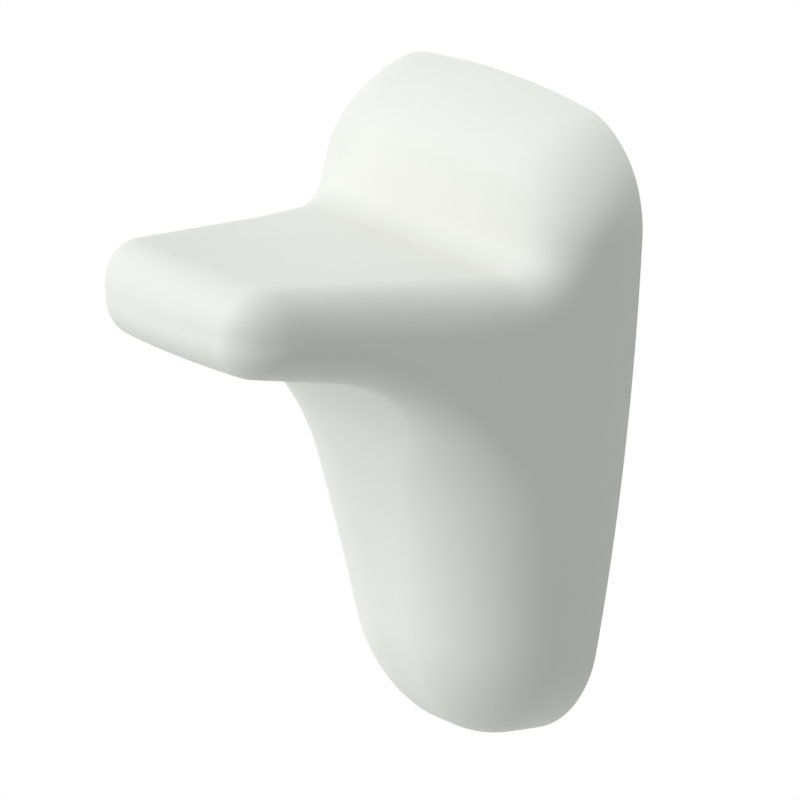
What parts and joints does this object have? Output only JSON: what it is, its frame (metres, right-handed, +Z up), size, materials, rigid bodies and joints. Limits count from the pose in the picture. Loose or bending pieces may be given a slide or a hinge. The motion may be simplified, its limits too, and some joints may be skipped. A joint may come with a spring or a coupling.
{
  "type": "clothes hook",
  "caption": "White moulded wall hook with a broad tongue, a rounded back plate and a tapering stem, held by a hidden steel bracket and locked by a set screw from below.",
  "frame": {"origin": "on the wall plane, in the middle of the bracket's back between its two screws", "axes": "+X across the hook, +Y into the wall, +Z up; the tongue points along -Y"},
  "size_m": [0.0498, 0.0541, 0.0693],
  "materials": {
    "shell_plastic": "white, satin as moulded",
    "bracket_steel": "zinc-plated strip",
    "washer_steel": "zinc-plated, stamped",
    "screw_steel": "zinc-plated, rolled thread",
    "insert_brass": "turned and knurled",
    "lock_steel": "plain stainless",
    "pad_plastic": "natural, turned"
  },
  "bodies": {
    "bracket": {"mounting_bracket": "bracket_steel", "upper_washer": "washer_steel", "lower_washer": "washer_steel", "upper_wall_screw": "screw_steel", "lower_wall_screw": "screw_steel"},
    "hook": {"hook_shell": "shell_plastic", "lock_insert": "insert_brass"},
    "pad": {"lock_pad": "pad_plastic"},
    "screw": {"lock_screw": "lock_steel"}
  },
  "joints": [
    {"name": "hook_pull_off", "type": "slide", "parent": "bracket", "child": "hook", "axis": [0, -1, 0], "range_m": [0, 0.03]},
    {"name": "pad_travel", "type": "slide", "parent": "hook", "child": "pad", "axis": [0, 0, 1], "range_m": [-0.0021, 0]},
    {"name": "lock_screw_turn", "type": "hinge", "parent": "pad", "child": "screw", "pos_m": [0, -0.0056, -0.0225], "axis": [0, 0, 1], "range_deg": [-1080, 0]}
  ],
  "couplings": [
    {"joint": "lock_screw_turn", "follows": "pad_travel", "rad_per_m": 8976}
  ]
}
